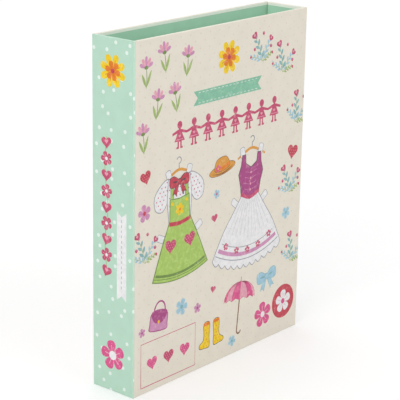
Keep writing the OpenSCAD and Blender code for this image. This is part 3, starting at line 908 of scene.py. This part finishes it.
def handbag(pen):
    """A small bag with a handle and a button."""
    handle = [(5.4 * math.cos(t), 6 + 7 * math.sin(t)) for t in (math.pi * k / 10 for k in range(11))]
    pen.line(handle, 1.2, PURPLE)
    bag = smooth([(-7.5, -7), (7.5, -7), (8.6, -3), (6.8, 6), (-6.8, 6), (-8.6, -3)], 3)
    pen.drawn(bag, LILAC, PURPLE, 1, 0.7)
    pen.touch(smooth([(-7.2, 5.8), (-5, -0.6), (0, -2.2), (5, -0.6), (7.2, 5.8)]), PURPLE, 3)
    pen.dot(0, -1.2, 2.2, YELLOW, 4, 12)


front = Pen()
paper_chain(front.at(102, 177), 8, 15.6)
stitched_ribbon(front.at(62, 205), 78, 10.5, JADE)
double_blossom(front.at(101, 235), 25)
pinafore(front.at(47, 171, 2, 1.26))
party_dress(front.at(131, 171, -2, 1.26))
sun_hat(front.at(96, 152, 8, 0.88))
umbrella(front.at(120, 42.5, -6))
boots(front.at(87, 15, 0, 1.15), YELLOW, ORANGE)
hair_bow(front.at(153.5, 53, 6), SKY, SEA)
handbag(front.at(27, 53, -8, 1.1))
for spot in ((166, 214, 0), (184, 172, -14), (180, 116, 10), (184, 58, -8), (141, 226, 14), (12, 100, 8)):
    spray(front.at(*spot))
for spot in ((12, 226, 0), (32, 234, 6), (54, 228, -5), (22, 202, -8), (44, 204, 8), (10, 180, 4)):
    bud(front.at(*spot))
for x, y, size, turn in ((12, 163, 11, 14), (182, 149, 13, -12), (88, 116, 7, 8), (88, 60, 6, -10)):
    dotted_heart(front.at(x, y, turn), size, RED if size > 10 else ROSE)
for x, y, size, tint, eye in ((150, 22, 21, PINK, WHITE), (52, 56, 13, SKY, SEA), (176, 100, 10, SKY, SEA),
                              (11, 137, 13, LILAC, RED), (9, 48, 7, LILAC, PURPLE), (112, 11, 9, SKY, SEA),
                              (70, 50, 8, LILAC, PURPLE), (90, 134, 7, SKY, ROSE)):
    blossom(front.at(x, y, x), tint, eye, size)
label = [(8, 5), (68, 5), (68, 39), (8, 39)]
front.line(label + label[:1], 0.6, ROSE)
for k in range(3):
    dotted_heart(front.at(20 + 18 * k, 22, 6 - 6 * k), 11, (PINK, ROSE)[k % 2])
front.dot(176, 26, 28, RED, 4, 40)
blossom(front.at(176, 26, up=5), WHITE, PINK, 19)
trim(front, FOLD_MARGIN, CASE_W / mm - FOLD_MARGIN)
lay_print("front_print", front, front_place, "cover")

# The prints on the spine, the flap and the back
# The same inks go on round the case: a garland and a bare ribbon on the spine, and sparse flowers
# on the flap and the back.
spine = Pen()
double_blossom(spine.at(20, 237), 24)
spine.swept([(14, 190), (12.5, 165), (15.5, 140), (12.5, 115), (14.5, 88)], 0.6, LEAF)
for k in range(9):
    y = 186 - 11.8 * k
    if k % 2:
        blossom(spine.at(14, y, 20 * k, up=1), ROSE, WHITE, 10.5)
    else:
        spine.at(14, y, 5 - 3 * k).touch(heart(9.5), ROSE, 1)
        spine.at(14, y + 0.6, 5 - 3 * k).touch(heart(3.4), BLUSH, 2)
stitched_ribbon(spine.at(33, 72, 90), 66, 9, WHITE)
for k in range(14):
    spine.line([(28.5, 81 + 3.8 * k), (28.5, 83 + 3.8 * k)], 0.5, JADE, 2)
blossom(spine.at(20, 28, 10), PINK, WHITE, 23)
spine.at(20, 28).dots(oval(20, 20), 3.6, 0.8, BLUSH, 2)
spine.dot(20, 28, 7, WHITE, 3, 20)
trim(spine, FOLD_MARGIN, CASE_D / mm - FOLD_MARGIN)
lay_print("spine_print", spine, spine_place, "case")

flap = Pen()
for k in range(9):
    bud(flap.at(12.5 + 12 * (k % 2), 12 + 26.5 * k, 6 - 4 * (k % 4)))
    tint, eye = ((SKY, SEA), (LILAC, PURPLE), (PINK, WHITE))[k % 3]
    blossom(flap.at(25 - 15 * (k % 2), 26 + 26.5 * k, 30 * k), tint, eye, 6.5)
trim(flap, FOLD_MARGIN, FLAP_W / mm - EDGE_MARGIN)
lay_print("flap_print", flap, flap_place, "flap")

back = Pen()
scatter = random.Random(5)
for column in range(4):
    for row in range(5):
        x = 26 + 47 * column + scatter.uniform(-5, 5)
        y = 22 + 50 * row + 22 * (column % 2) + scatter.uniform(-5, 5)
        spray(back.at(x, y, scatter.uniform(-18, 18)))
        tint = scatter.choice((SKY, LILAC, PINK, JADE))
        blossom(back.at(x + 22, y + 4, scatter.uniform(0, 72)), tint, WHITE, scatter.uniform(7, 12))
trim(back, EDGE_MARGIN, CASE_W / mm - FOLD_MARGIN)
lay_print("back_print", back, back_place, "case")

# The boards and the linings
# Grey board stiffens each panel, and a plain mint paper is glued over the turned-in edges of the
# cover sheet. It leaves a strip of that sheet bare below the top edge and above the foot.
LINING_SHORT = 0.8 * mm      # by which it ends before the construction's sheet


def dress_node(name, material):
    """Gives a part of the construction its finish."""
    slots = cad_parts[name].data.materials
    slots.clear()
    slots.append(material)


def face_place(tree):
    """A flat place in millimetres on a face, whichever way it looks, and the place in space."""
    place = add_node(tree, "TexCoord").outputs
    in_mm = scaled(tree, place["Object"], 1 / mm)
    x, y, z = add_node(tree, "SeparateXYZ", {0: in_mm}).outputs
    normal = add_node(tree, "SeparateXYZ", {0: place["Normal"]}).outputs
    sideways, level = (maths(tree, "GREATER_THAN", maths(tree, "ABSOLUTE", normal[i]), 0.6) for i in (0, 2))
    across = maths(tree, "MULTIPLY_ADD", maths(tree, "SUBTRACT", y, x), sideways, x)
    up = maths(tree, "MULTIPLY_ADD", maths(tree, "SUBTRACT", y, z), level, z)
    return add_node(tree, "CombineXYZ", {0: across, 1: up}).outputs[0], in_mm


def constant(tree, colour):
    """A colour that is the same all over."""
    node = add_node(tree, "RGB")
    node.outputs[0].default_value = colour
    return node.outputs[0]


def greyboard():
    """Grey recycled board with dark and pale flecks."""
    material, tree = new_material("greyboard")
    in_mm = face_place(tree)[1]
    flecks = add_node(tree, "TexNoise", {"Vector": in_mm, "Scale": 1.4, "Detail": 6.0,
                                         "Roughness": 0.8}).outputs[0]
    colour = mix_colours(tree, ranged(tree, flecks, 0, 1), linear(150, 142, 128), linear(184, 176, 160))
    return finish_paper(material, colour, in_mm, 0.9, 0.08 * mm, height=flecks)


def lining_paper():
    """Uncoated mint paper."""
    material, tree = new_material("lining_paper")
    colour = constant(tree, linear(174, 211, 188))
    return finish_paper(material, colour, face_place(tree)[1], 0.62, 0.04 * mm)


LINING_PAPER = lining_paper()
GREYBOARD = greyboard()
for panel, body in (("back", "case"), ("spine", "case"), ("front", "cover"), ("flap", "flap")):
    dress_node(panel + "_board", GREYBOARD)
    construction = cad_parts[panel + "_lining"]
    lining_low, lining_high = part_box(panel + "_lining")
    lining_bm = bmesh.new()
    lining_bm.from_mesh(construction.data)
    bmesh.ops.transform(lining_bm, matrix=construction.matrix_world, verts=lining_bm.verts)
    for vert in lining_bm.verts:
        vert.co.z = min(max(vert.co.z, lining_low.z + LINING_SHORT), lining_high.z - LINING_SHORT)
    lining = new_piece(panel + "_lining_sheet", lining_bm, LINING_PAPER, body)
    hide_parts(panel + "_lining")

# The magnets
# Nickel-plated discs are glued into blind recesses in the flap's board and in the tray's wall, so
# that they pull on each other through the paper when the flap is closed.


def nickel():
    """Bright plating with fine turning marks."""
    material, tree = new_material("nickel_plate")
    shader = tree.nodes["Principled BSDF"]
    place = add_node(tree, "TexCoord").outputs["Object"]
    marks = add_node(tree, "TexNoise", {"Vector": place, "Scale": 900.0, "Detail": 4.0}).outputs[0]
    tint = scaled(tree, constant(tree, linear(205, 203, 198)), ranged(tree, marks, 0.88, 1.05))
    tree.links.new(tint, shader.inputs["Base Color"])
    tree.links.new(ranged(tree, marks, 0.20, 0.36), shader.inputs["Roughness"])
    shader.inputs["Metallic"].default_value = 1.0
    return material


NICKEL = nickel()
for place_name in ("flap", "tray"):
    for height in ("upper", "lower"):
        dress_node(f"{place_name}_magnet_{height}", NICKEL)

# The tray
# Five grey boards are wrapped in mint paper, which is drawn over the rim and down inside the walls,
# and a sheet of the same paper covers the floor. The tray is glued against the back and the spine.
TRAY_WALL_T = 1.9 * mm
TRAY_EDGE_R = 0.35 * mm


def dotted_paper():
    """Uncoated mint paper with small white dots."""
    material, tree = new_material("tray_paper")
    flat, in_mm = face_place(tree)
    dots = link_group(tree, ROUND_DOTS, {"Place": flat, "Spacing": 13.0, "Radius": 1.2, "Scatter": 0.75})
    colour = mix_colours(tree, dots["Mask"], linear(166, 208, 184), DOT_INK)
    return finish_paper(material, colour, in_mm, 0.62, 0.04 * mm)


tray_low, tray_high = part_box("tray_cover_paper")
floor_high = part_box("tray_floor_paper")[1]
tray_bm = bmesh.new()
box_between(tray_bm, tray_low, tray_high)
tray_mouth = [f for f in tray_bm.faces if f.calc_center_median().y < tray_low.y + 1e-6]
bmesh.ops.inset_region(tray_bm, faces=tray_mouth, thickness=TRAY_WALL_T)
tray_well = bmesh.ops.extrude_face_region(tray_bm, geom=tray_mouth)["geom"]
bmesh.ops.translate(tray_bm, vec=(0, floor_high.y - tray_low.y, 0), verts=verts_of(tray_well))
bmesh.ops.delete(tray_bm, geom=[f for f in tray_mouth if f.is_valid], context="FACES")
bmesh.ops.recalc_face_normals(tray_bm, faces=tray_bm.faces)
bmesh.ops.bevel(tray_bm, geom=tray_bm.edges[:], offset=TRAY_EDGE_R, affect="EDGES", segments=3,
                profile=0.5, material=-1)
TRAY_PAPER = dotted_paper()
tray = new_piece("tray_wrap", tray_bm, TRAY_PAPER, "case")
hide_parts("tray_cover_paper")
dress_node("tray_floor_paper", TRAY_PAPER)
for wall in ("floor_board", "upper_wall", "lower_wall", "spine_wall", "flap_wall"):
    dress_node("tray_" + wall, GREYBOARD)

# The platform, the leaflet and the sheets of clothes
# A folded white card lifts the stack, and a thin instruction leaflet and six sheets of press-out
# clothes lie on it. Cut edges show the board's paler core.
PLY_WAVE = 21.0              # radians per millimetre of the plies in a cut edge


def cut_card(name, face_colour, core_colour, roughness):
    """Card with printed faces towards the front and the back, and a bare core at its cut edges."""
    material, tree = new_material(name)
    in_mm = face_place(tree)[1]
    normal = add_node(tree, "TexCoord").outputs["Normal"]
    towards = maths(tree, "ABSOLUTE", add_node(tree, "SeparateXYZ", {0: normal}).outputs[1])
    depth = add_node(tree, "SeparateXYZ", {0: in_mm}).outputs[1]
    wave = maths(tree, "SINE", maths(tree, "MULTIPLY", depth, PLY_WAVE))
    plies = ranged(tree, wave, 0.93, 1.03, -1.0, 1.0)
    core = scaled(tree, constant(tree, core_colour), plies)
    colour = mix_colours(tree, maths(tree, "LESS_THAN", towards, 0.5), face_colour, core)
    return finish_paper(material, colour, in_mm, roughness, 0.03 * mm)


dress_node("insert_platform", cut_card("white_card", linear(238, 236, 228), linear(222, 216, 202), 0.7))
dress_node("instruction_leaflet",
           cut_card("leaflet_paper", linear(244, 243, 238), linear(236, 234, 226), 0.6))
CLOTHES_CARD = cut_card("clothes_card", linear(246, 240, 230), linear(228, 222, 208), 0.5)
for number in range(1, 7):
    dress_node(f"clothes_sheet_{number}", CLOTHES_CARD)

# The sheet of dolls
# A stiff printed board holds two dolls and two feet, which press out along a thin cut. What is left
# of the sheet is printed with small flowers, shoes and hearts.
DOLL_BOARD = cut_card("doll_board", linear(247, 241, 231), linear(206, 196, 178), 0.42)
for node_name in ("doll_sheet_frame", "doll_1", "doll_2", "stand_foot_1", "stand_foot_2"):
    dress_node(node_name, DOLL_BOARD)

sheet_low, sheet_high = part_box("doll_sheet_frame")
sheet_w, sheet_h = (sheet_high - sheet_low).xz / mm
BORDER = 3.2                 # millimetres from the sheet's edge to its stitches
CORNER = 8.0                 # and from its corner to the first one
STITCH = 5.0                 # from one stitch to the next


def stitch_row(pen, edge):
    """Stitches along an edge of this length."""
    for k in range(int((edge - 2 * CORNER) / STITCH)):
        x = CORNER + STITCH * (k + 0.5)
        pen.line([(x - 1.3, 0), (x + 1.3, 0)], 0.5, SEA)


sheet = Pen()
for x in (BORDER - sheet_w / 2, sheet_w / 2 - BORDER):
    stitch_row(sheet.at(x, 0, 90), sheet_h)
for y in (BORDER, sheet_h - BORDER):
    stitch_row(sheet.at(-sheet_w / 2, y), sheet_w)
for k in range(6):
    tint, eye = ((PINK, WHITE), (SKY, SEA), (LILAC, PURPLE))[k % 3]
    blossom(sheet.at(-75 + 30 * k, 217.5 - 3 * (k % 2), 20 * k), tint, eye, 9)
for k in range(5):
    blossom(sheet.at(-60 + 30 * k, 218, 9 * k), ROSE, WHITE, 6)
for k in range(7):
    y = 34 + 27 * k
    dotted_heart(sheet.at(0, y, 8 - 5 * (k % 4)), 8, ROSE)
    blossom(sheet.at(0, y + 13.5, 30 * k), (SKY, LILAC)[k % 2], WHITE, 7)
for side in (-1, 1):
    for y, size in ((34, 1), (56, 1), (156, 0.7), (175, 0.7), (194, 0.7)):
        bud(sheet.at(82.5 * side, y, y % 3 - 1, size))
    blossom(sheet.at(74 * side, 14, 20), JADE, WHITE, 10)
boots(sheet.at(-70, 72, 0, 0.8), SEA, WHITE)
boots(sheet.at(68, 72, 0, 0.8), ROSE, BLUSH)
sun_hat(sheet.at(-21, 76, 8, 0.48))
handbag(sheet.at(22, 78, -8, 0.7))


def lay_in_front(name, pen, low, high):
    """Lays a print on the front of a flat node, from the middle of its lower edge."""
    lay_print(name, pen, Matrix.Translation(((low.x + high.x) / 2, low.y, low.z)), "case")


lay_in_front("doll_sheet_print", sheet, sheet_low, sheet_high)

# The dolls and their feet
# Each doll stands on a base with a slot, and a half-round foot slots across it. The printed figure
# stays a little inside the cut edge: skin, hair, a plain face, a slip, socks and shoes.
PRINT_MARGIN = 0.9
# Right halves of the outlines, in thousandths of the doll's height.
FIGURE = ((50, 115), (46, 165), (56, 235), (50, 300), (58, 372), (112, 385), (94, 470), (62, 560),
          (56, 605), (70, 655), (100, 600), (132, 520), (150, 462), (166, 440), (184, 455), (180, 490),
          (166, 540), (142, 610), (116, 672), (86, 708), (40, 720))
HAIR = {"doll_1": ((44, 750), (86, 778), (104, 830), (96, 882), (62, 922), (36, 940), (44, 964),
                   (30, 992), (0, 1000)),
        "doll_2": ((46, 748), (88, 752), (120, 764), (130, 796), (114, 832), (112, 876), (82, 926),
                   (40, 950), (0, 956))}
SLIP = ((0, 394), (104, 396), (88, 470), (56, 560), (50, 605), (62, 650), (60, 700), (46, 706),
        (42, 680), (22, 664), (0, 660))
# Colours of the skin, the hair and the slip, each with its line, and of the shoes.
LOOKS = {"doll_1": (linear(248, 218, 194), linear(214, 160, 132), linear(206, 134, 62), linear(150, 88, 40),
                    linear(244, 196, 208), ROSE, PURPLE),
         "doll_2": (linear(200, 150, 112), linear(146, 98, 70), linear(74, 52, 44), linear(44, 32, 30),
                    linear(178, 214, 224), SEA, RED)}
BASE_W, BASE_H, BASE_CORNER_R = 46.0, 15.0, 6.0
SLOT_W, SLOT_DEPTH = 1.8, 7.5
FOOT_R = 20.0
doll_h = (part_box("doll_1")[1].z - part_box("doll_1")[0].z) / mm
part = doll_h / 1000


def of_height(*shares):
    """Points given in thousandths of the doll's height."""
    return [(x * part, y * part) for x, y in shares]


def dotted_ground(pen, outline, colour, dot_colour):
    """A dotted ground that stays inside the cut edge of a base or a foot."""
    pen.touch(grown(outline, -PRINT_MARGIN), colour)
    pen.dots(grown(outline, -PRINT_MARGIN - 0.6), 4.6, 1.5, dot_colour, 1)


def print_doll(name):
    """The printed figure on one doll."""
    skin, skin_line, hair_tint, hair_line, slip_tint, slip_line, shoes = LOOKS[name]
    low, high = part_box(name)
    doll = Pen()
    corner = arc(BASE_W / 2 - BASE_CORNER_R, BASE_H - BASE_CORNER_R, BASE_CORNER_R, 0, 90, 8)
    base = mirrored([(SLOT_W / 2, SLOT_DEPTH), (SLOT_W / 2, 0), (BASE_W / 2, 0)] + corner)
    dotted_ground(doll, base, JADE, WHITE)
    figure = mirrored([(FIGURE[0][0] * part, BASE_H)] + smooth(of_height(*FIGURE), 3, False)
                      + of_height((34, 760)))
    doll.drawn(grown(figure, -PRINT_MARGIN), skin, skin_line, 2)
    doll.line(of_height((0, 100), (1, 250), (0, 390)), 0.6, skin_line, 4)
    for side in (-1, 1):
        knee = of_height((18 * side, 248), (27 * side, 244), (36 * side, 248))
        doll.line(knee, 0.5, skin_line, 4, 0.3)
        sock = of_height((4 * side, 105), (44 * side, 105), (42 * side, 165), (6 * side, 165))
        doll.drawn(sock, WHITE, SKY, 5)
        for k in range(3):
            y = 124 + 15 * k
            doll.line(of_height((6 * side, y), (42 * side, y)), 1.0, SKY, 7)
        shoe = doll.at(26 * side * part, 104 * part)
        shoe.drawn(oval(42 * part, 26 * part), shoes, DARK, 8)
        shoe.line([(-2.6, 1.2), (2.6, 1.2)], 0.7, DARK, 10)
    slip = smooth(mirrored(of_height(*SLIP)), 2)
    doll.drawn(slip, slip_tint, slip_line, 5)
    for k in range(13):
        doll.dot((16 * k - 96) * part, 400 * part, 2.6, WHITE, 7)
    doll.dots(grown(slip, -2.0), 6.5, 1.2, WHITE, 7)
    doll.swept(of_height((-54, 572), (0, 566), (54, 572)), 2.0, slip_line, 8)
    blossom(doll.at(0, 650 * part, up=8), PINK, YELLOW, 5.5)
    hair = mirrored(smooth(of_height(*HAIR[name]), 3, False))
    doll.drawn(grown(hair, -PRINT_MARGIN), hair_tint, hair_line, 5)
    doll.line(of_height((0, 700), (0, 770)), 55 * part, skin, 7)
    head = doll.at(0, 828 * part)
    head.drawn(oval(140 * part, 160 * part, 28), skin, skin_line, 8)
    fringe = of_height((-71, 838), (-62, 885), (-30, 915), (30, 915), (62, 885), (71, 838), (46, 874),
                       (12, 880), (-26, 868), (-52, 862))
    doll.touch(smooth(fringe, 3), hair_tint, 10)
    for k in range(-3, 4):
        lock = of_height((10 * k, 915), (19 * k, 896), (22 * k, 876))
        doll.line(lock, 0.5, hair_line, 11, 0.3)
    for side in (-1, 1):
        head.at(43 * side * part, -4.8).touch(oval(28 * part, 20 * part, 14), BLUSH, 10)
        eye = head.at(28 * side * part, -0.6)
        eye.touch(oval(11 * part, 17 * part, 12), DARK, 11)
        eye.dot(0.4, 0.5, 0.6, WHITE, 12, 8)
        head.line([(3.2 * side, 2.8), (4.8 * side, 3.5), (6.6 * side, 2.9)], 0.55, hair_line, 11, 0.3)
    head.swept([(-3.2, -7.4), (0, -8.8), (3.2, -7.4)], 0.7, RED, 11, 0.4)
    head.line([(-0.6, -4.4), (0.5, -4.6)], 0.6, skin_line, 11, 0.4)
    if name == "doll_1":
        doll.line(of_height((-36, 942), (0, 936), (36, 942)), 2.2, PINK, 11)
        blossom(doll.at(52 * part, 925 * part, up=12), PINK, WHITE, 6.5)
    else:
        band = of_height((-98, 890), (-56, 926), (0, 938), (56, 926), (98, 890))
        doll.swept(band, 2.6, RED, 11)
    lay_in_front(name + "_print", doll, low, high)


def print_foot(number):
    """The printed dots on one foot."""
    low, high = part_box(f"stand_foot_{number}")
    foot = Pen()
    side = arc(0, 0, FOOT_R, 0, math.degrees(math.asin(BASE_H / FOOT_R)), 12)
    outline = mirrored([(0, 0)] + side + [(SLOT_W / 2, BASE_H), (SLOT_W / 2, BASE_H - SLOT_DEPTH)])
    dotted_ground(foot, outline, ROSE, BLUSH)
    lay_in_front(f"stand_foot_{number}_print", foot, low, high)


for doll_name in LOOKS:
    print_doll(doll_name)
for foot_number in (1, 2):
    print_foot(foot_number)
